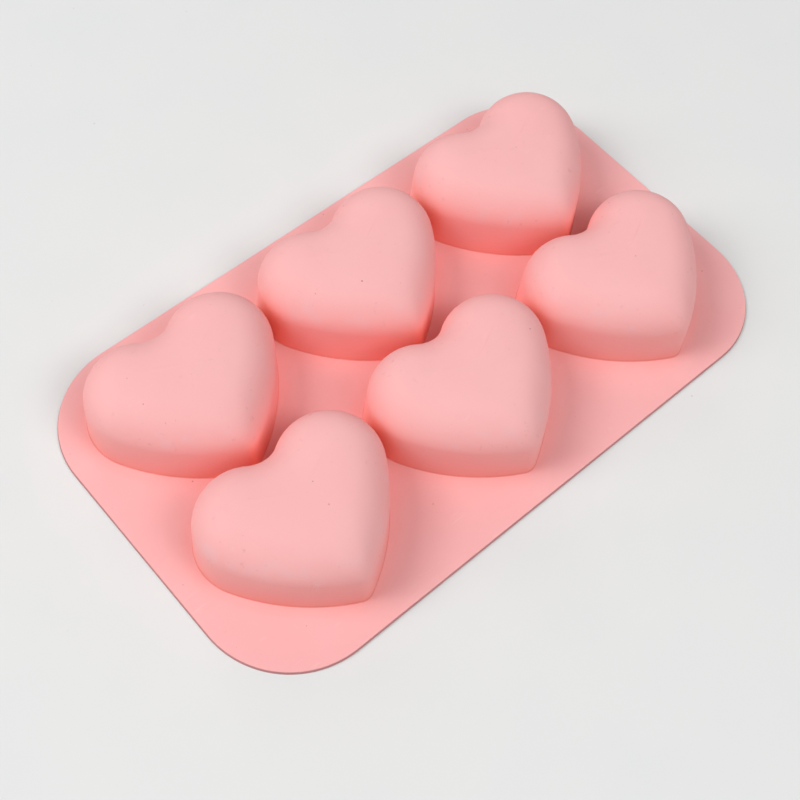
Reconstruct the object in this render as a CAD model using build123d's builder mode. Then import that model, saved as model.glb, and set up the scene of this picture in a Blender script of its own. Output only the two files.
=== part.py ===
"""Silicone soap mould: a thin sheet with six heart-shaped cups in three columns and two rows.

The mould lies mouth down, crowns up.  X runs along the three columns, Y across the two rows
with the tips of the hearts towards -Y, and Z up, with the underside of the sheet at z = 0.
All sizes are in millimetres.

The real mould is one elastic moulding.  It is divided here where it works as separate pieces:
the sheet at the two strips that bend between the columns, and each cup at the line around its
crown, which a thumb pushes in to free a bar.
"""
from build123d import *
from math import cos, radians, sin, sqrt, tan
import os

# ---- driving dimensions -------------------------------------------------------------------
SHEET_LENGTH = 265.0
SHEET_WIDTH = 155.0
SHEET_CORNER = 37.4
SHEET_THICKNESS = 1.5

COLUMN_PITCH = 80.55
ROW_PITCH = 65.4
HEART_SHIFT = 11.0          # from the middle of a heart's cell to its lobe centre line

LOBE_SPREAD = 18.05         # lobe centres stand this far each side of the heart's middle
LOBE_RADIUS = 21.25
NOTCH_RADIUS = 10.85
TIP_Y = -43.7
TIP_RADIUS = 6.0
SIDE_RADIUS = 82.0          # of the long, nearly straight arcs from the lobes to the tip
RIDGE_GROWTH = 0.5          # the ridge above the tip gets this much rounder with each mm of inset

WALL_HEIGHT = 16.2          # the straight drafted wall, above the sheet
DRAFT = 2.2                 # degrees
SHOULDER_RADIUS = 16.0
SHOULDER_ANGLES = (15, 30, 45, 60, 75, 90)
SHELL = 1.8                 # thickness of the cups
DOME_RISE = 0.9             # how far the middle of a crown stands above its shoulder
DOME_INSET = 20.4

CROWN_CUT = 8.0             # inset of the line between wall and crown
CUT_GAP = 0.3
WEB_WIDTH = 0.8             # the flexing strip between two columns

COLUMNS = {"left": -COLUMN_PITCH, "middle": 0.0, "right": COLUMN_PITCH}
ROWS = {"front": -ROW_PITCH / 2, "back": ROW_PITCH / 2}


# ---- the heart outline --------------------------------------------------------------------
def toward(start, end, distance):
    """The point at a distance from start on the line to end."""
    return start + (end - start).normalized() * distance


def mirrored(point):
    return Vector(-point.X, point.Y)


def side_centre():
    """Centre of the long arc that runs from the right lobe to the tip, touching both."""
    lobe = Vector(LOBE_SPREAD, 0)
    tip = Vector(0, TIP_Y + TIP_RADIUS)
    to_lobe = SIDE_RADIUS - LOBE_RADIUS
    to_tip = SIDE_RADIUS - TIP_RADIUS
    span = (tip - lobe).length
    way = (tip - lobe).normalized()
    along = (to_lobe ** 2 - to_tip ** 2 + span ** 2) / (2 * span)
    across = sqrt(to_lobe ** 2 - along ** 2)
    return lobe + way * along + Vector(way.Y, -way.X) * across


def heart_face(inset=0.0):
    """The heart, inset all round: notch, right lobe, right side, tip, left side, left lobe."""
    lobe = Vector(LOBE_SPREAD, 0)
    notch = Vector(0, sqrt((LOBE_RADIUS + NOTCH_RADIUS) ** 2 - LOBE_SPREAD ** 2))
    side = side_centre()
    tip_radius = TIP_RADIUS + RIDGE_GROWTH * inset
    side_radius = SIDE_RADIUS - inset
    lobe_radius = LOBE_RADIUS - inset
    tip = Vector(0, side.Y - sqrt((side_radius - tip_radius) ** 2 - side.X ** 2))

    notch_bottom = Vector(0, notch.Y - NOTCH_RADIUS - inset)
    notch_end = toward(notch, lobe, NOTCH_RADIUS + inset)
    lobe_middle = lobe + Vector(lobe_radius, 0)
    side_start = toward(side, lobe, side_radius)
    side_end = toward(side, tip, side_radius)
    side_middle = toward(side, (side_start + side_end) / 2, side_radius)
    tip_bottom = Vector(0, tip.Y - tip_radius)

    with BuildSketch() as heart:
        with BuildLine():
            ThreePointArc(mirrored(notch_end), notch_bottom, notch_end)
            ThreePointArc(notch_end, lobe_middle, side_start)
            ThreePointArc(side_start, side_middle, side_end)
            ThreePointArc(side_end, tip_bottom, mirrored(side_end))
            ThreePointArc(mirrored(side_end), mirrored(side_middle), mirrored(side_start))
            ThreePointArc(mirrored(side_start), mirrored(lobe_middle), mirrored(notch_end))
        make_face()
    return heart.sketch


# ---- the surface of a cup, as hearts at growing inset and height --------------------------------
def cup_profile(depth):
    """(inset, height) pairs from the mouth up, at a depth below the cup's outer surface."""
    draft = radians(DRAFT)
    lean = tan(draft)
    arc_inset = WALL_HEIGHT * lean + SHOULDER_RADIUS * cos(draft)
    arc_height = SHEET_THICKNESS + WALL_HEIGHT - SHOULDER_RADIUS * sin(draft)
    radius = SHOULDER_RADIUS - depth
    profile = [(depth / cos(draft) - SHEET_THICKNESS * lean, 0.0)]
    for turn in (draft, *map(radians, SHOULDER_ANGLES)):
        profile.append((arc_inset - radius * cos(turn), arc_height + radius * sin(turn)))
    profile.append((DOME_INSET, arc_height + radius + DOME_RISE))
    return profile


def cup_form(depth):
    """The solid under a cup surface, from z = 0 to the top of its dome."""
    with BuildPart() as form:
        for inset, height in cup_profile(depth):
            with BuildSketch(Plane.XY.offset(height)):
                add(heart_face(inset))
        loft(ruled=True)
    return form.part


# ---- one cup, as its wall and its crown, at the origin ------------------------------------------
outer_form = cup_form(0.0)
inner_form = cup_form(SHELL)
CUT_FROM = SHEET_THICKNESS + WALL_HEIGHT
CUT_HEIGHT = 2 * SHOULDER_RADIUS

with BuildPart() as cup_wall:
    add(outer_form)
    add(inner_form, mode=Mode.SUBTRACT)
    with BuildSketch(Plane.XY.offset(CUT_FROM)):
        add(heart_face(CROWN_CUT - CUT_GAP / 2))
    extrude(amount=CUT_HEIGHT, mode=Mode.SUBTRACT)

with BuildPart() as cup_crown:
    add(outer_form)
    add(inner_form, mode=Mode.SUBTRACT)
    with BuildSketch(Plane.XY.offset(CUT_FROM)):
        add(heart_face(CROWN_CUT + CUT_GAP / 2))
    extrude(amount=CUT_HEIGHT, mode=Mode.INTERSECT)

# ---- the sheet, with an opening under each cup --------------------------------------------------
HALF_LENGTH = SHEET_LENGTH / 2
WEB_INNER = (COLUMN_PITCH - WEB_WIDTH) / 2
WEB_OUTER = (COLUMN_PITCH + WEB_WIDTH) / 2

with BuildPart() as whole_sheet:
    with BuildSketch():
        RectangleRounded(SHEET_LENGTH, SHEET_WIDTH, SHEET_CORNER)
    extrude(amount=SHEET_THICKNESS)
    with Locations([(x, y + HEART_SHIFT) for x in COLUMNS.values() for y in ROWS.values()]):
        add(outer_form, mode=Mode.SUBTRACT)


# ---- the pieces, each to its own file -----------------------------------------------------------
def sheet_strip(low_x, high_x, name):
    """The part of the sheet between two X positions."""
    with BuildPart() as strip:
        add(whole_sheet.part)
        with Locations(((low_x + high_x) / 2, 0, 0)):
            Box(high_x - low_x, 2 * SHEET_WIDTH, 4 * SHEET_THICKNESS, mode=Mode.INTERSECT)
    strip.part.label = name
    export_step(strip.part, f"parts/{name}.step")


def cup_piece(master, x, y, name):
    """A copy of a wall or a crown at its heart's place on the sheet."""
    with BuildPart() as piece:
        with Locations((x, y + HEART_SHIFT, 0)):
            add(master)
    piece.part.label = name
    export_step(piece.part, f"parts/{name}.step")


os.makedirs("parts", exist_ok=True)
sheet_strip(-HALF_LENGTH, -WEB_OUTER, "sheet_left")
sheet_strip(-WEB_OUTER, -WEB_INNER, "flex_web_left")
sheet_strip(-WEB_INNER, WEB_INNER, "sheet_middle")
sheet_strip(WEB_INNER, WEB_OUTER, "flex_web_right")
sheet_strip(WEB_OUTER, HALF_LENGTH, "sheet_right")
for row, row_y in ROWS.items():
    for column, column_x in COLUMNS.items():
        cup_piece(cup_wall.part, column_x, row_y, f"heart_wall_{row}_{column}")
        cup_piece(cup_crown.part, column_x, row_y, f"heart_crown_{row}_{column}")
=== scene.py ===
"""Silicone soap mould with six heart cups, lying mouth down: looks, light and camera.

Shapes are worked out in millimetres in the mould's own frame (X along the columns of hearts,
Y across the rows with the tips towards -Y, Z up out of the crowns) and written in metres.
Each cup is one closed skin over its wall and crown, and the sheet is two halves that meet at the
mould's middle, so that no skin has to bend at more than one place.
"""
import math

import bmesh
import bpy
import numpy as np
from mathutils import Matrix, Vector, noise
from mathutils.bvhtree import BVHTree
from mathutils.geometry import delaunay_2d_cdt


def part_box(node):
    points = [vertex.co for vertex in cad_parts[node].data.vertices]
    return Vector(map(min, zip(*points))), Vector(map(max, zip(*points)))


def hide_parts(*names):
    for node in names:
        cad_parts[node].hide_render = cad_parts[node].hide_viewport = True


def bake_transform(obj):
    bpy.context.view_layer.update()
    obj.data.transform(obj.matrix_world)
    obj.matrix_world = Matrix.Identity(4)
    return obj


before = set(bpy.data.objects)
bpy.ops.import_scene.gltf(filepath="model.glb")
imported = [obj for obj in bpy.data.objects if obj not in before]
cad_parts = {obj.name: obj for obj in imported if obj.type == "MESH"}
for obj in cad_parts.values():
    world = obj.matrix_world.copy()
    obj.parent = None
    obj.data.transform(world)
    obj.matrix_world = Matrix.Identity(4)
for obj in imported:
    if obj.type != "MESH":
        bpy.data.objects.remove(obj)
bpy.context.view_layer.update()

MM = 0.001
COLUMNS = ("left", "middle", "right")
ROWS = ("front", "back")

# ---- the mould's dimensions, in millimetres, as the solids have them ---------------------------
LOBE_SPREAD = 18.05
LOBE_RADIUS = 21.25
NOTCH_RADIUS = 10.85
TIP_Y = -43.7
TIP_RADIUS = 6.0
RIDGE_GROWTH = 0.5          # the ridge above the tip gets this much rounder with each mm of inset
SIDE_RADIUS = 82.0
SHEET_CORNER = 37.4
WALL_HEIGHT = 16.2
DRAFT = math.radians(2.2)
SHOULDER_RADIUS = 16.0
SHELL = 1.8

# ---- finer shape that only the skins have ------------------------------------------------------
FOOT_FILLET = 0.3           # between the sheet and a wall
# The darker line along a wall's foot is painted shade in the crease.
FOOT_SHADE_HEIGHT = 1.4             # how far up a wall the darker line along its foot reaches
MOUTH_FILLET = 0.5
RIM_FILLET = 0.2            # along the sheet's upper and lower edges
RIM_SLANT = 0.35            # the upper edge stands this far inside the lower one
RIM_SUPPORT = 1.1           # a ring of points this far inside the rim keeps the sheet flat
SHOULDER_END = math.radians(82)
LAST_RING = 20.2            # inset of the last full ring, before the lobes run out
DEEPEST_INSET = 26.5        # inset of the middle of a heart
CAP_CENTRE = (0.0, -8.0)
WAVINESS = 0.12             # height of the casting's slow unevenness
WAVE_LENGTH = 22.0
WAVES_FROM = 2.0            # the unevenness starts this far above the sheet
WAVES_RISE = 14.0           # and reaches its full height this much further up
COLUMN_SEED = 7.3           # steps through the noise, so that no two cups are alike
ROW_SEED = 3.1
GRID = 5.0                  # spacing of the sheet's points
LINE_POINTS = 63            # across the sheet, on each line where it bends or its halves meet
LINE_CLEARANCE = 0.35       # between those points and a heart
SMOOTH_ANGLE = math.radians(40)

# ---- how finely the curves are stepped ---------------------------------------------------------
ARC_STEPS = {"notch": 20, "lobe": 30, "side": 24, "tip": 10}
FILLET_STEPS = 4
CORNER_STEPS = 24
WALL_RINGS = 8
SHOULDER_STEPS = 17
DOME_STEPS = 5
CAP_STEPS = 11


def millimetres(node):
    low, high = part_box(node)
    return np.array(low) / MM, np.array(high) / MM


sheet_low = millimetres("sheet_left")[0]
sheet_high = millimetres("sheet_right")[1]
web_low, web_high = millimetres("flex_web_right")
SHEET_LENGTH = sheet_high[0] - sheet_low[0]
SHEET_WIDTH = sheet_high[1] - sheet_low[1]
SHEET_THICKNESS = sheet_high[2] - sheet_low[2]
FLEX_X = (web_low[0] + web_high[0]) / 2
FLEX_HALF = (web_high[0] - web_low[0]) / 2
FLEX_LINES = [FLEX_X + share * FLEX_HALF for share in (-1, -0.5, 0, 0.5, 1)]


def heart_place(row, column):
    """The middle of one heart's lobe centre line, from the box of its wall."""
    low, high = millimetres(f"heart_wall_{row}_{column}")
    foot = SHEET_THICKNESS * math.tan(DRAFT)
    return np.array([(low[0] + high[0]) / 2, high[1] - foot - LOBE_RADIUS])


# ---- the heart outline -------------------------------------------------------------------------
def arc(name, centre, radius, start, end):
    """Points along an arc, without its last one."""
    turn = np.linspace(start, end, ARC_STEPS[name] + 1)[:-1]
    return np.c_[centre[0] + radius * np.cos(turn), centre[1] + radius * np.sin(turn)]


def heading(start, end):
    return math.atan2(end[1] - start[1], end[0] - start[0])


def heart_loop(inset):
    """The outline, inset all round: notch, right lobe, right side, tip, left side, left lobe."""
    lobe = np.array([LOBE_SPREAD, 0.0])
    notch = np.array([0.0, math.sqrt((LOBE_RADIUS + NOTCH_RADIUS) ** 2 - LOBE_SPREAD ** 2)])
    rest = np.array([0.0, TIP_Y + TIP_RADIUS])
    span = np.linalg.norm(rest - lobe)
    to_lobe = SIDE_RADIUS - LOBE_RADIUS
    to_tip = SIDE_RADIUS - TIP_RADIUS
    along = (to_lobe ** 2 - to_tip ** 2 + span ** 2) / (2 * span)
    across = math.sqrt(to_lobe ** 2 - along ** 2)
    way = (rest - lobe) / span
    side = lobe + way * along + np.array([way[1], -way[0]]) * across

    tip_radius = TIP_RADIUS + RIDGE_GROWTH * inset
    side_radius = SIDE_RADIUS - inset
    lobe_radius = LOBE_RADIUS - inset
    tip = np.array([0.0, side[1] - math.sqrt((side_radius - tip_radius) ** 2 - side[0] ** 2)])
    mirror = np.array([-1, 1])
    to_notch = heading(notch, lobe)
    to_side = heading(side, lobe)
    to_end = heading(side, tip)
    return np.vstack([
        arc("notch", notch, NOTCH_RADIUS + inset, -math.pi - to_notch, to_notch),
        arc("lobe", lobe, lobe_radius, to_notch + math.pi, to_side),
        arc("side", side, side_radius, to_side, to_end),
        arc("tip", tip, tip_radius, to_end, -math.pi - to_end),
        arc("side", side * mirror, side_radius, -math.pi - to_end, -math.pi - to_side),
        arc("lobe", lobe * mirror, lobe_radius, -math.pi - to_side, -2 * math.pi - to_notch),
    ])


LOOP_COUNT = len(heart_loop(0.0))


# ---- a cup, as rings from the middle of its crown, down outside, and back up inside ------------
def dome_height(inset, start_inset, start_height):
    """The dome goes on from the shoulder's last slope, and is level in the heart's middle."""
    reach = inset - start_inset
    slope = 1 / math.tan(SHOULDER_END)
    return start_height + slope * (reach - reach ** 2 / (2 * (DEEPEST_INSET - start_inset)))


def quarter(fillet, foot_inset, foot_height):
    """(inset, height) pairs up a fillet from flat to wall, which is drafted and starts at the foot."""
    pairs = []
    for turn in np.linspace(-math.pi / 2, 0, FILLET_STEPS + 1):
        rise = fillet * (1 + math.sin(turn))
        inset = foot_inset + fillet * (math.cos(turn) - 1) + rise * math.tan(DRAFT)
        pairs.append((inset, foot_height + rise))
    return pairs


def cup_rings(depth):
    """Rings of (x, y, z) points from the foot to near the middle, and the middle point."""
    lean = math.tan(DRAFT)
    radius = SHOULDER_RADIUS - depth
    arc_inset = WALL_HEIGHT * lean + SHOULDER_RADIUS * math.cos(DRAFT)
    arc_height = SHEET_THICKNESS + WALL_HEIGHT - SHOULDER_RADIUS * math.sin(DRAFT)
    wall_inset = depth / math.cos(DRAFT)
    if depth == 0:
        profile = quarter(FOOT_FILLET, 0.0, SHEET_THICKNESS)
        start = SHEET_THICKNESS + FOOT_SHADE_HEIGHT
    else:
        profile = quarter(MOUTH_FILLET, wall_inset - SHEET_THICKNESS * lean, 0.0)
        start = 2 * MOUTH_FILLET
    for height in np.linspace(start, arc_height + radius * math.sin(DRAFT), WALL_RINGS):
        profile.append((wall_inset + (height - SHEET_THICKNESS) * lean, height))
    for turn in np.linspace(DRAFT, SHOULDER_END, SHOULDER_STEPS + 1)[1:]:
        profile.append((arc_inset - radius * math.cos(turn), arc_height + radius * math.sin(turn)))
    shoulder = profile[-1]
    for inset in np.linspace(shoulder[0], LAST_RING, DOME_STEPS + 1)[1:]:
        profile.append((inset, dome_height(inset, *shoulder)))

    rings = [np.c_[heart_loop(inset), np.full(LOOP_COUNT, height)] for inset, height in profile]
    centre = np.array(CAP_CENTRE)
    last = rings[-1][:, :2]
    for share in np.linspace(0, 1, CAP_STEPS + 1)[1:-1]:
        inset = LAST_RING + (DEEPEST_INSET - LAST_RING) * share
        height = dome_height(inset, *shoulder)
        rings.append(np.c_[centre + (last - centre) * (1 - share), np.full(LOOP_COUNT, height)])
    return rings, np.array([*centre, dome_height(DEEPEST_INSET, *shoulder)])


def ring_mesh(rings, first, last):
    """Points and faces of a closed skin over rings, with a fan at each end."""
    points = np.vstack([first, *rings, last])
    end = 1 + (len(rings) - 1) * LOOP_COUNT
    faces = []
    for k in range(LOOP_COUNT):
        after = (k + 1) % LOOP_COUNT
        faces.append((0, 1 + after, 1 + k))
        for low in range(1, end, LOOP_COUNT):
            high = low + LOOP_COUNT
            faces.append((low + k, low + after, high + after, high + k))
        faces.append((end + k, end + after, len(points) - 1))
    return points, faces


def finish_mesh(thing, grid):
    """Writes a bmesh back, smooth but for its sharper edges, normals outward."""
    bmesh.ops.recalc_face_normals(grid, faces=grid.faces)
    for face in grid.faces:
        face.smooth = True
    for edge in grid.edges:
        edge.smooth = edge.calc_face_angle(0) < SMOOTH_ANGLE
    grid.to_mesh(thing.data)
    grid.free()


def make_object(name, points, faces):
    mesh = bpy.data.meshes.new(name)
    mesh.from_pydata((np.asarray(points) * MM).tolist(), [], faces)
    thing = bpy.data.objects.new(name, mesh)
    bpy.context.scene.collection.objects.link(thing)
    grid = bmesh.new()
    grid.from_mesh(mesh)
    finish_mesh(thing, grid)
    return thing


def waves(points, seed):
    """A slow unevenness of the casting: a height for each point, none near the sheet."""
    heights = []
    for x, y, z in points:
        rise = min(max((z - SHEET_THICKNESS - WAVES_FROM) / WAVES_RISE, 0), 1)
        spot = Vector((x / WAVE_LENGTH + seed, y / WAVE_LENGTH, z / WAVE_LENGTH))
        heights.append(WAVINESS * rise * noise.noise(spot))
    return np.array(heights)


outer_rings, outer_middle = cup_rings(0.0)
inner_rings, inner_middle = cup_rings(SHELL)


def make_cup(name, place, seed):
    foot = np.c_[heart_loop(-FOOT_FILLET), np.zeros(LOOP_COUNT)]
    rings = [*outer_rings[::-1], foot, *inner_rings]
    points, faces = ring_mesh(rings, outer_middle, inner_middle)
    points = points + [*place, 0]
    points[:, 2] += waves(points, seed)
    return make_object(name, points, faces)


# ---- the sheet: a thin plate with a fine rim and six openings ----------------------------------
def grid_steps(half):
    """Multiples of the grid's spacing that fit within half a side, both ways."""
    count = math.floor(half / GRID)
    return GRID * np.arange(-count, count + 1)


def rim_loop(inset):
    """The rounded rectangle, inset, with points where the mould bends and at its middle."""
    half_x = SHEET_LENGTH / 2
    half_y = SHEET_WIDTH / 2
    centre_x = half_x - SHEET_CORNER
    centre_y = half_y - SHEET_CORNER
    radius = SHEET_CORNER - inset
    flex = [*FLEX_LINES, *(-x for x in FLEX_LINES)]
    along_x = sorted({*grid_steps(centre_x - GRID), *flex})
    along_y = grid_steps(centre_y - GRID)
    corners = ((centre_x, centre_y), (-centre_x, centre_y), (-centre_x, -centre_y), (centre_x, -centre_y))
    sides = (
        [(x, half_y - inset) for x in along_x[::-1]],
        [(inset - half_x, y) for y in along_y[::-1]],
        [(x, inset - half_y) for x in along_x],
        [(half_x - inset, y) for y in along_y],
    )
    loop = []
    for quarter_turn, (corner, side) in enumerate(zip(corners, sides)):
        for turn in np.linspace(0, math.pi / 2, CORNER_STEPS + 1) + quarter_turn * math.pi / 2:
            loop.append((corner[0] + radius * math.cos(turn), corner[1] + radius * math.sin(turn)))
        loop += side
    return np.array(loop)


def inside(points, loop):
    """Which points lie inside a closed loop."""
    x, y = points[:, :1], points[:, 1:2]
    x0, y0 = loop[:, 0], loop[:, 1]
    x1, y1 = np.roll(x0, -1), np.roll(y0, -1)
    crosses = (y0 > y) != (y1 > y)
    with np.errstate(divide="ignore", invalid="ignore"):
        at = x0 + (y - y0) * (x1 - x0) / (y1 - y0)
    return (crosses & (x < at)).sum(1) % 2 == 1


def clear_of(points, loop, gap):
    """Which points are more than a gap away from every point of a loop."""
    apart = np.hypot(points[:, :1] - loop[:, 0], points[:, 1:2] - loop[:, 1])
    return apart.min(1) > gap


def sheet_face(rim, hearts):
    """A triangulation of the sheet between its rim and the hearts."""
    chains = [rim, *hearts]
    edges = []
    count = 0
    for chain in chains:
        edges += [(count + k, count + (k + 1) % len(chain)) for k in range(len(chain))]
        count += len(chain)

    lines = [0.0, *FLEX_LINES, *(-x for x in FLEX_LINES)]
    spots = np.array([(x, y) for x in grid_steps(SHEET_LENGTH / 2) for y in grid_steps(SHEET_WIDTH / 2)])
    keep = inside(spots, rim) & clear_of(spots, rim, GRID / 2)
    for x in lines:
        keep &= np.abs(spots[:, 0] - x) > GRID / 2.5
    for heart in hearts:
        keep &= ~inside(spots, heart) & clear_of(spots, heart, GRID / 2)
    chains.append(spots[keep])
    edge_y = rim[:, 1].max()
    for x in lines:
        column = np.array([(x, y) for y in np.linspace(-edge_y, edge_y, LINE_POINTS)[1:-1]])
        keep = np.ones(len(column), bool)
        for heart in hearts:
            keep &= ~inside(column, heart) & clear_of(column, heart, LINE_CLEARANCE)
        chains.append(column[keep])

    vertices = [Vector(spot) for chain in chains for spot in chain]
    flat, _, triangles, _, _, _ = delaunay_2d_cdt(vertices, edges, [], 0, 1e-5)
    flat = np.array(flat)
    triangles = np.array([t for t in triangles if len(t) == 3])
    middles = flat[triangles].mean(1)
    keep = inside(middles, rim)
    for heart in hearts:
        keep &= ~inside(middles, heart)
    return flat, triangles[keep]


def make_sheet():
    """The whole plate as points and faces."""
    hearts = [heart_loop(-FOOT_FILLET) + heart_place(row, column) for row in ROWS for column in COLUMNS]
    inner_rim = rim_loop(RIM_SUPPORT)
    flat, triangles = sheet_face(inner_rim, hearts)
    points = [*np.c_[flat, np.full(len(flat), SHEET_THICKNESS)], *np.c_[flat, np.zeros(len(flat))]]
    faces = [tuple(t) for t in triangles] + [tuple(t[::-1] + len(flat)) for t in triangles]

    def add_ring(loop, height):
        points.extend(np.c_[loop, np.full(len(loop), height)])
        return len(points) - len(loop)

    def join(lower, upper, count):
        for k in range(count):
            after = (k + 1) % count
            faces.append((lower + k, lower + after, upper + after, upper + k))

    edge = [(inner_rim, SHEET_THICKNESS)]
    for turn in np.linspace(0, math.pi / 2, FILLET_STEPS + 1):
        loop = rim_loop(RIM_SLANT + RIM_FILLET * (1 - math.sin(turn)))
        edge.append((loop, SHEET_THICKNESS - RIM_FILLET * (1 - math.cos(turn))))
    for turn in np.linspace(0, math.pi / 2, FILLET_STEPS + 1):
        edge.append((rim_loop(RIM_FILLET * (1 - math.cos(turn))), RIM_FILLET * (1 - math.sin(turn))))
    edge.append((inner_rim, 0.0))
    rings = [add_ring(*level) for level in edge]
    for lower, upper in zip(rings, rings[1:]):
        join(lower, upper, len(inner_rim))
    for heart in hearts:
        join(add_ring(heart, 0.0), add_ring(heart, SHEET_THICKNESS), LOOP_COUNT)
    return np.array(points), faces


def half_of(points, faces, side):
    """The points and faces of one half of the sheet, side -1 for the left and 1 for the right."""
    kept = [face for face in faces if side * points[list(face), 0].mean() > 0]
    used = sorted({k for face in kept for k in face})
    number = {old: new for new, old in enumerate(used)}
    return points[used], [tuple(number[k] for k in face) for face in kept]


def close_seam(thing):
    """Welds the rings of a half sheet to its faces, and fills the cut at the mould's middle."""
    grid = bmesh.new()
    grid.from_mesh(thing.data)
    bmesh.ops.remove_doubles(grid, verts=grid.verts, dist=1e-6)
    open_edges = [edge for edge in grid.edges if len(edge.link_faces) == 1]
    bmesh.ops.holes_fill(grid, edges=open_edges, sides=0)
    finish_mesh(thing, grid)
    return thing


cups = []
for row in ROWS:
    for column in COLUMNS:
        place = heart_place(row, column)
        seed = COLUMN_SEED * COLUMNS.index(column) + ROW_SEED * ROWS.index(row)
        cup = make_cup(f"cup_skin_{row}_{column}", place, seed)
        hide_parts(f"heart_wall_{row}_{column}", f"heart_crown_{row}_{column}")
        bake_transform(cup)
        cups.append(cup)

halves = []
sheet_points, sheet_faces = make_sheet()
for side, column in ((-1, "left"), (1, "right")):
    half = close_seam(make_object(f"sheet_skin_{column}", *half_of(sheet_points, sheet_faces, side)))
    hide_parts(f"sheet_{column}", f"flex_web_{column}", "sheet_middle")
    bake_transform(half)
    halves.append(half)

# ---- where the silicone is sheltered from light ------------------------------------------------
# Places that see little of the sky get light that has been through the silicone or off it, and look
# deeper in colour; here that is painted shade, a deeper pink painted in.  The amount is kept in each
# skin's points.
RAYS = 64
RAY_LIFT = 0.05 * MM
RAY_REACH = 60 * MM
SHELTER_FADE = 10 * MM      # a surface this far away counts for about a third
RING_STRIDE = 3             # along a ring, every third point is worked out
DEEPEST_SHELTER = 0.5       # at the bottom of a cavity
OPEN_ABOVE = 32.0           # the crowns are in the open above this height


def sky_ways(count):
    """Directions over a dome around +Z, spread as light counts on a matte surface."""
    golden = math.pi * (1 + math.sqrt(5))
    ways = []
    for k in range(count):
        reach = math.sqrt((k + 0.5) / count)
        rise = math.sqrt(1 - reach ** 2)
        ways.append(Vector((reach * math.cos(golden * k), reach * math.sin(golden * k), rise)))
    return ways


SKY_WAYS = sky_ways(RAYS)


def shelter_at(tree, place, normal):
    """How much of the sky the surroundings of a place keep off it, near ones counting more."""
    turn = normal.to_track_quat("Z", "Y")
    start = place + normal * RAY_LIFT
    total = 0.0
    for way in SKY_WAYS:
        distance = tree.ray_cast(start, turn @ way, RAY_REACH)[3]
        if distance is not None:
            total += math.exp(-distance / SHELTER_FADE)
    return total / RAYS


def whole_surface():
    """All the skins as one tree to cast rays at."""
    corners = []
    faces = []
    for thing in [*cups, *halves]:
        first = len(corners)
        corners += [point.co for point in thing.data.vertices]
        faces += [[first + k for k in face.vertices] for face in thing.data.polygons]
    return BVHTree.FromPolygons(corners, faces)


def cup_shelter(cup, tree):
    points = cup.data.vertices
    height = np.array([point.co.z for point in points])
    # Inside a cup the painted shade deepens towards the bottom of its cavity.
    shelter = DEEPEST_SHELTER * height / height.max()
    inner_start = 1 + len(outer_rings) * LOOP_COUNT
    shelter[:inner_start] = 0.0
    steps = np.arange(0, LOOP_COUNT + RING_STRIDE, RING_STRIDE)
    for first in range(1, inner_start, LOOP_COUNT):
        if height[first] > OPEN_ABOVE * MM:
            continue
        ring = [points[first + k] for k in steps[:-1]]
        some = [shelter_at(tree, point.co, point.normal) for point in ring]
        shelter[first:first + LOOP_COUNT] = np.interp(np.arange(LOOP_COUNT), steps, [*some, some[0]])
    return shelter


def sheet_shelter(half, tree):
    up = Vector((0, 0, 1))
    top = (SHEET_THICKNESS - RIM_FILLET) * MM
    places = [point.co for point in half.data.vertices]
    return np.array([shelter_at(tree, place, up) if place.z > top else 0.0 for place in places])


def foot_shade_line(cup):
    """Painted shade along the foot: 1 at the foot of a cup's outer wall, 0 a little higher, and 0
    elsewhere.
    """
    height = np.array([point.co.z for point in cup.data.vertices]) / MM
    line = np.clip(1 - (height - SHEET_THICKNESS) / FOOT_SHADE_HEIGHT, 0, 1)
    line[1 + len(outer_rings) * LOOP_COUNT:] = 0
    return line


def rim_shade_line(half):
    """Painted shade on the sheet's edge: 1 around it below its upper fillet, and 0 elsewhere."""
    points = np.array([point.co for point in half.data.vertices]) / MM
    reach = np.abs(points[:, :2]) - [SHEET_LENGTH / 2 - SHEET_CORNER, SHEET_WIDTH / 2 - SHEET_CORNER]
    outward = np.hypot(*np.maximum(reach, 0).T) + np.minimum(reach.max(1), 0)
    at_rim = np.clip(2 + 2 * (outward - SHEET_CORNER) / RIM_SUPPORT, 0, 1)
    return at_rim * np.clip((SHEET_THICKNESS - points[:, 2]) / RIM_FILLET, 0, 1)


def keep_in_points(thing, name, kind, field, values):
    layer = thing.data.attributes.new(name, kind, "POINT")
    layer.data.foreach_set(field, np.asarray(values, np.float32).ravel())


surface = whole_surface()
for cup in cups:
    keep_in_points(cup, "shelter", "FLOAT", "value", cup_shelter(cup, surface))
    keep_in_points(cup, "foot_shade_line", "FLOAT", "value", foot_shade_line(cup))
for half in halves:
    keep_in_points(half, "shelter", "FLOAT", "value", sheet_shelter(half, surface))
    keep_in_points(half, "rim_shade_line", "FLOAT", "value", rim_shade_line(half))
for thing in [*cups, *halves]:
    rest = [point.co / MM for point in thing.data.vertices]
    keep_in_points(thing, "rest_place", "FLOAT_VECTOR", "vector", rest)


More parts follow.
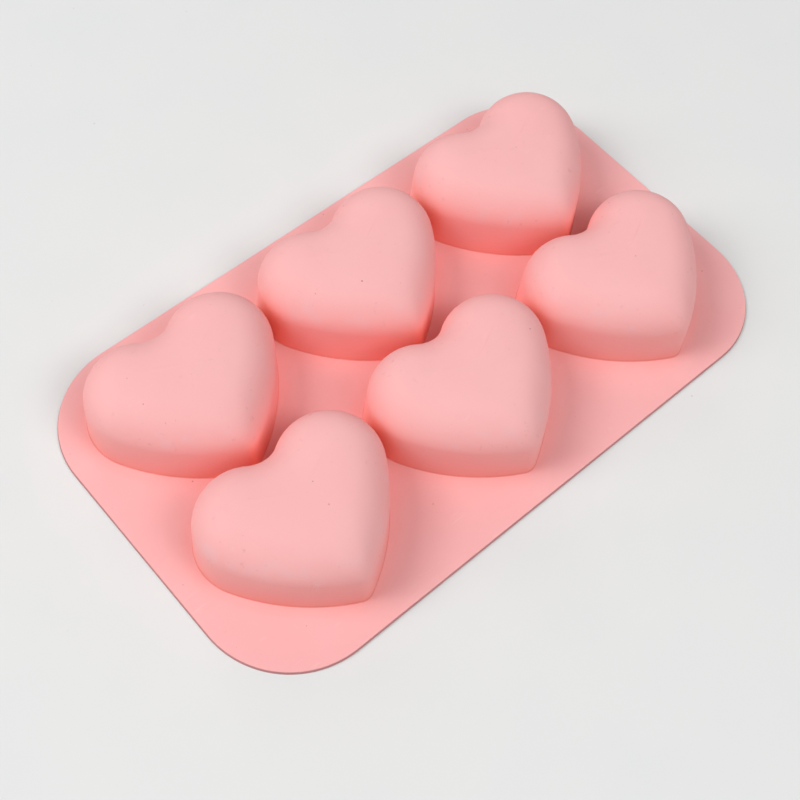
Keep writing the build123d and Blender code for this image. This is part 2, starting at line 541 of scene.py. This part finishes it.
# ---- material ----------------------------------------------------------------------------------
class Recipe:
    """Short ways to add and join a material's nodes.  Lengths are in millimetres."""

    def __init__(self, name):
        self.material = bpy.data.materials.new(name)
        self.material.use_nodes = True
        self.tree = self.material.node_tree
        self.shader = self.tree.nodes["Principled BSDF"]

    def add(self, kind, inputs, **settings):
        """A node; each input is a number, a vector, a colour or another node's output."""
        made = self.tree.nodes.new(kind)
        for key, value in settings.items():
            setattr(made, key, value)
        for key, value in inputs.items():
            if isinstance(value, bpy.types.NodeSocket):
                self.tree.links.new(value, made.inputs[key])
            else:
                made.inputs[key].default_value = value
        return made

    def point_value(self, name, output):
        return self.add("ShaderNodeAttribute", {}, attribute_name=name).outputs[output]

    def stretched(self, place, scale, turn=0.0):
        inputs = {"Vector": place, "Scale": scale, "Rotation": (0, 0, turn)}
        return self.add("ShaderNodeMapping", inputs).outputs["Vector"]

    def noise(self, place, size, detail=2.0):
        """Noise with patches of about this size."""
        inputs = {"Vector": place, "Scale": 1 / size, "Detail": detail}
        return self.add("ShaderNodeTexNoise", inputs).outputs["Fac"]

    def band(self, value, low, high, start=0.0, end=1.0):
        """Goes smoothly from start to end as a value goes from low to high."""
        inputs = {"Value": value, "From Min": low, "From Max": high, "To Min": start, "To Max": end}
        made = self.add("ShaderNodeMapRange", inputs, interpolation_type="SMOOTHSTEP")
        return made.outputs["Result"]

    def math(self, operation, first, second):
        return self.add("ShaderNodeMath", {0: first, 1: second}, operation=operation).outputs[0]

    def mix(self, share, first, second):
        made = self.add("ShaderNodeMix", {0: share, 6: first, 7: second}, data_type="RGBA")
        return made.outputs[2]

    def bump(self, height, distance, normal=None):
        inputs = {"Height": height, "Distance": distance * MM, "Strength": 1.0}
        if normal:
            inputs["Normal"] = normal
        return self.add("ShaderNodeBump", inputs).outputs["Normal"]

    def specks(self, place, spacing, share, smallest, largest):
        """Round specks: one in each cell of a grid of this spacing, kept in a share of the cells."""
        inputs = {"Vector": place, "Scale": 1 / spacing}
        cells = self.add("ShaderNodeTexVoronoi", inputs, voronoi_dimensions="2D")
        draw = self.add("ShaderNodeSeparateColor", {0: cells.outputs["Color"]}).outputs
        kept = self.math("LESS_THAN", draw[0], share)
        inputs = {"Value": draw[1], "To Min": smallest / spacing, "To Max": largest / spacing}
        radius = self.add("ShaderNodeMapRange", inputs).outputs["Result"]
        near = self.math("DIVIDE", cells.outputs["Distance"], radius)
        spot = self.band(near, 0.5, 1.1, 1.0, 0.0)
        return self.math("MULTIPLY", spot, self.math("MULTIPLY", kept, draw[2]))


LEVEL_PINK = (0.915, 0.452, 0.447, 1)
# The wall pink is painted shade: steep walls get a deeper, redder pink than what lies level.
WALL_SHADE_PINK = (0.995, 0.402, 0.386, 1)
# The two sheltered pinks are painted shade, used where little of the sky is seen.
SHELTER_SHADE_WALL_PINK = (0.998, 0.34, 0.26, 1)
SHELTER_SHADE_LEVEL_PINK = (0.93, 0.345, 0.325, 1)
PALE_PINK = (0.95, 0.54, 0.535, 1)
# Foot red is painted shade in the crease where a wall meets the sheet.
FOOT_SHADE_RED = (0.87, 0.29, 0.26, 1)
# Rim mauve is painted shade on the sheet's edge.
RIM_SHADE_MAUVE = (0.60, 0.262, 0.265, 1)
# The powder colour stands for powder and for a painted sheen on the shoulders.
POWDER_AND_SHEEN = (0.84, 0.56, 0.60, 1)
SMEAR = (0.68, 0.30, 0.30, 1)
DUST = (0.30, 0.11, 0.12, 1)


def silicone():
    recipe = Recipe("pink_silicone")
    place = recipe.point_value("rest_place", "Vector")
    facing = recipe.add("ShaderNodeNewGeometry", {}).outputs["Normal"]
    upward = recipe.add("ShaderNodeSeparateXYZ", {"Vector": facing}).outputs["Z"]
    flat_place = recipe.stretched(place, (1, 1, 0))

    # Painted shade: a deeper pink on the walls and where sheltered, a darker line along the foot of each
    # wall and a dark one around the rim. Painted light: paler towards the crowns. Paler too in slow
    # uneven patches.
    # Painted shade: steep walls take the deeper wall pink.
    level = recipe.math("MAXIMUM", upward, 0.0)
    in_open = recipe.mix(level, WALL_SHADE_PINK, LEVEL_PINK)
    # Painted shade: places that see little of the sky take the sheltered pinks.
    shelter_shade_colour = recipe.mix(level, SHELTER_SHADE_WALL_PINK, SHELTER_SHADE_LEVEL_PINK)
    reach = recipe.band(upward, 0.1, 0.9, 0.62, 0.32)
    shelter = recipe.point_value("shelter", "Fac")
    most = recipe.band(upward, 0.1, 0.9, 1.0, 0.28)
    share = recipe.math("MULTIPLY", recipe.band(shelter, 0.0, reach), most)
    share = recipe.math("MAXIMUM", share, recipe.band(shelter, 0.42, 0.62))
    colour = recipe.mix(share, in_open, shelter_shade_colour)
    height = recipe.add("ShaderNodeSeparateXYZ", {"Vector": place}).outputs["Z"]
    pale_patches_and_lit_tops = recipe.band(recipe.noise(place, 24, 3.0), 0.35, 0.7, 0.0, 0.16)
    # Painted light: paler with height, towards the crowns.
    pale_patches_and_lit_tops = recipe.math("ADD", pale_patches_and_lit_tops, recipe.band(height, 8, 28, 0.0, 0.16))
    colour = recipe.mix(pale_patches_and_lit_tops, colour, PALE_PINK)
    # Painted shade in the crease along each wall's foot.
    colour = recipe.mix(recipe.point_value("foot_shade_line", "Fac"), colour, FOOT_SHADE_RED)
    # Painted shade on the sheet's edge.
    colour = recipe.mix(recipe.point_value("rim_shade_line", "Fac"), colour, RIM_SHADE_MAUVE)

    # A greyish film on the shoulders: powder that handling has left, and a painted sheen of the bright
    # surroundings.
    shoulder = recipe.band(upward, 0.95, 0.6)
    shoulder = recipe.math("MULTIPLY", shoulder, recipe.band(upward, 0.0, 0.4))
    powder_and_sheen_patches = recipe.band(recipe.noise(place, 9, 4.0), 0.5, 0.72, 0.0, 0.22)
    powder_and_sheen_film = recipe.math("MULTIPLY", powder_and_sheen_patches, shoulder)
    colour = recipe.mix(powder_and_sheen_film, colour, POWDER_AND_SHEEN)

    # Small soft smears that fingers have left, in places and mostly on the shoulders.
    smears = recipe.band(recipe.noise(place, 2.6, 3.0), 0.62, 0.72)
    smears = recipe.math("MULTIPLY", smears, recipe.band(recipe.noise(place, 14, 1.0), 0.45, 0.6))
    smears = recipe.math("MULTIPLY", smears, recipe.band(upward, 1.0, 0.8, 0.4, 1.0))
    smears = recipe.math("MULTIPLY", smears, recipe.band(height, 14, 24))
    colour = recipe.mix(recipe.math("MULTIPLY", smears, 0.3), colour, SMEAR)

    # Hairline scuffs: a few short stretches of the thin line where a drawn-out noise is halfway.
    drawn_out = recipe.noise(recipe.stretched(place, (0.05, 1, 0.05), 0.6), 2.2, 1.0)
    from_line = recipe.math("ABSOLUTE", recipe.math("SUBTRACT", drawn_out, 0.5), 0.0)
    line = recipe.band(from_line, 0.0, 0.012, 1.0, 0.0)
    scuffs = recipe.math("MULTIPLY", line, recipe.band(recipe.noise(place, 11, 1.0), 0.6, 0.68))
    colour = recipe.mix(recipe.math("MULTIPLY", scuffs, 0.45), colour, PALE_PINK)

    # Dust that has settled on what faces up.
    lying = recipe.band(upward, 0.55, 0.8)
    dust = recipe.math("ADD", recipe.specks(flat_place, 13, 0.3, 0.12, 0.45),
                       recipe.specks(recipe.stretched(flat_place, (1, 1, 1), 0.5), 4, 0.12, 0.05, 0.16))
    dust = recipe.math("MULTIPLY", dust, lying)
    colour = recipe.mix(recipe.math("MULTIPLY", dust, 0.75), colour, DUST)

    # Satin where hands have been, dull where powder or dust lies.
    worn = recipe.band(recipe.noise(place, 15, 3.0), 0.3, 0.7, 0.70, 0.86)
    rough = recipe.math("ADD", worn, recipe.math("MULTIPLY", powder_and_sheen_film, 0.3))
    rough = recipe.math("SUBTRACT", rough, recipe.math("MULTIPLY", scuffs, 0.15))

    # The moulding's slow ripple, the fine grain of its tool, scuffs cut in and dust lying on.
    normal = recipe.bump(recipe.noise(place, 7, 2.0), 0.12)
    normal = recipe.bump(recipe.noise(place, 0.45, 3.0), 0.018, normal)
    normal = recipe.bump(recipe.math("SUBTRACT", dust, scuffs), 0.03, normal)

    recipe.shader.inputs["Specular IOR Level"].default_value = 0.3
    recipe.tree.links.new(colour, recipe.shader.inputs["Base Color"])
    recipe.tree.links.new(rough, recipe.shader.inputs["Roughness"])
    recipe.tree.links.new(normal, recipe.shader.inputs["Normal"])
    return recipe.material


silicone_material = silicone()
for thing in [*cups, *halves]:
    thing.data.materials.append(silicone_material)

# ---- floor -------------------------------------------------------------------------------------
FLOOR_HALF = 15.0
PAPER_GREY = (0.76, 0.771, 0.766, 1)
PAPER_WHITE = (0.775, 0.781, 0.773, 1)
PAPER_MARK = (0.35, 0.33, 0.31, 1)

floor_mesh = bpy.data.meshes.new("floor")
floor_corners = [(-FLOOR_HALF, -FLOOR_HALF, 0), (FLOOR_HALF, -FLOOR_HALF, 0),
                 (FLOOR_HALF, FLOOR_HALF, 0), (-FLOOR_HALF, FLOOR_HALF, 0)]
floor_mesh.from_pydata(floor_corners, [], [(0, 1, 2, 3)])
floor = bpy.data.objects.new("floor", floor_mesh)
bpy.context.scene.collection.objects.link(floor)


def paper():
    recipe = Recipe("paper")
    metres = recipe.add("ShaderNodeTexCoord", {}).outputs["Object"]
    place = recipe.stretched(metres, (1 / MM, 1 / MM, 1 / MM))
    tone = recipe.band(recipe.noise(place, 40, 3.0), 0.3, 0.7)
    colour = recipe.mix(tone, PAPER_GREY, PAPER_WHITE)
    marks = recipe.specks(place, 35, 0.35, 0.15, 0.5)
    colour = recipe.mix(recipe.math("MULTIPLY", marks, 0.5), colour, PAPER_MARK)
    recipe.tree.links.new(colour, recipe.shader.inputs["Base Color"])
    recipe.shader.inputs["Roughness"].default_value = 0.9
    recipe.shader.inputs["Specular IOR Level"].default_value = 0.2
    return recipe.material


floor_mesh.materials.append(paper())


# ---- light and camera --------------------------------------------------------------------------
def direction(azimuth, elevation):
    """The unit vector from the mould towards a place seen at these angles, as the camera's are."""
    a = math.radians(azimuth)
    e = math.radians(elevation)
    return Vector((math.sin(a) * math.cos(e), -math.cos(a) * math.cos(e), math.sin(e)))


# in metres
SOFTBOX_DISTANCE = 3.0
SOFTBOX_SIZE = 1.4


def softbox(name, azimuth, elevation, power):
    lamp = bpy.data.lights.new(name, "AREA")
    lamp.shape = "DISK"
    lamp.size = SOFTBOX_SIZE
    lamp.energy = power
    thing = bpy.data.objects.new(name, lamp)
    bpy.context.scene.collection.objects.link(thing)
    way = direction(azimuth, elevation)
    thing.location = way * SOFTBOX_DISTANCE
    thing.rotation_mode = "QUATERNION"
    thing.rotation_quaternion = (-way).to_track_quat("-Z", "Y")


# name: azimuth and elevation in degrees, power in watts
SOFTBOXES = {
    "key_left": (-112.5, 50, 20.3),
    "key_back": (-135, 50, 19.7),
    "key_low": (-120, 35, 17.1),
    "front_fill": (0, 50, 12.7),
    "front_right_fill": (22.5, 50, 20.8),
    "overhead_fill": (45, 70, 8.2),
    "back_fill": (157.5, 30, 6.8),
}
for name, (azimuth, elevation, power) in SOFTBOXES.items():
    softbox(name, azimuth, elevation, power)

AROUND_STRENGTH = 0.2       # of the even light from all round
world = bpy.data.worlds.new("studio")
bpy.context.scene.world = world
world.use_nodes = True
world.node_tree.nodes["Background"].inputs["Color"].default_value = (1, 1, 1, 1)
world.node_tree.nodes["Background"].inputs["Strength"].default_value = AROUND_STRENGTH
bpy.context.scene.view_settings.view_transform = "Standard"

CAMERA_AZIMUTH = -47.39
CAMERA_ELEVATION = 60.55
CAMERA_ROLL = math.radians(7.32)
CAMERA_DISTANCE = 0.5254
CAMERA_TARGET = Vector((-17.95, -10.80, 0)) * MM
FOCAL_LENGTH = 61.19
back = direction(CAMERA_AZIMUTH, CAMERA_ELEVATION)
level_right = (-back).cross(Vector((0, 0, 1))).normalized()
level_up = level_right.cross(-back)
right = level_right * math.cos(CAMERA_ROLL) + level_up * math.sin(CAMERA_ROLL)
up = level_up * math.cos(CAMERA_ROLL) - level_right * math.sin(CAMERA_ROLL)
lens = bpy.data.cameras.new("camera")
lens.lens = FOCAL_LENGTH
camera = bpy.data.objects.new("camera", lens)
bpy.context.scene.collection.objects.link(camera)
turned = Matrix((right, up, back)).transposed().to_4x4()
camera.matrix_world = Matrix.Translation(CAMERA_TARGET + back * CAMERA_DISTANCE) @ turned
bpy.context.scene.camera = camera
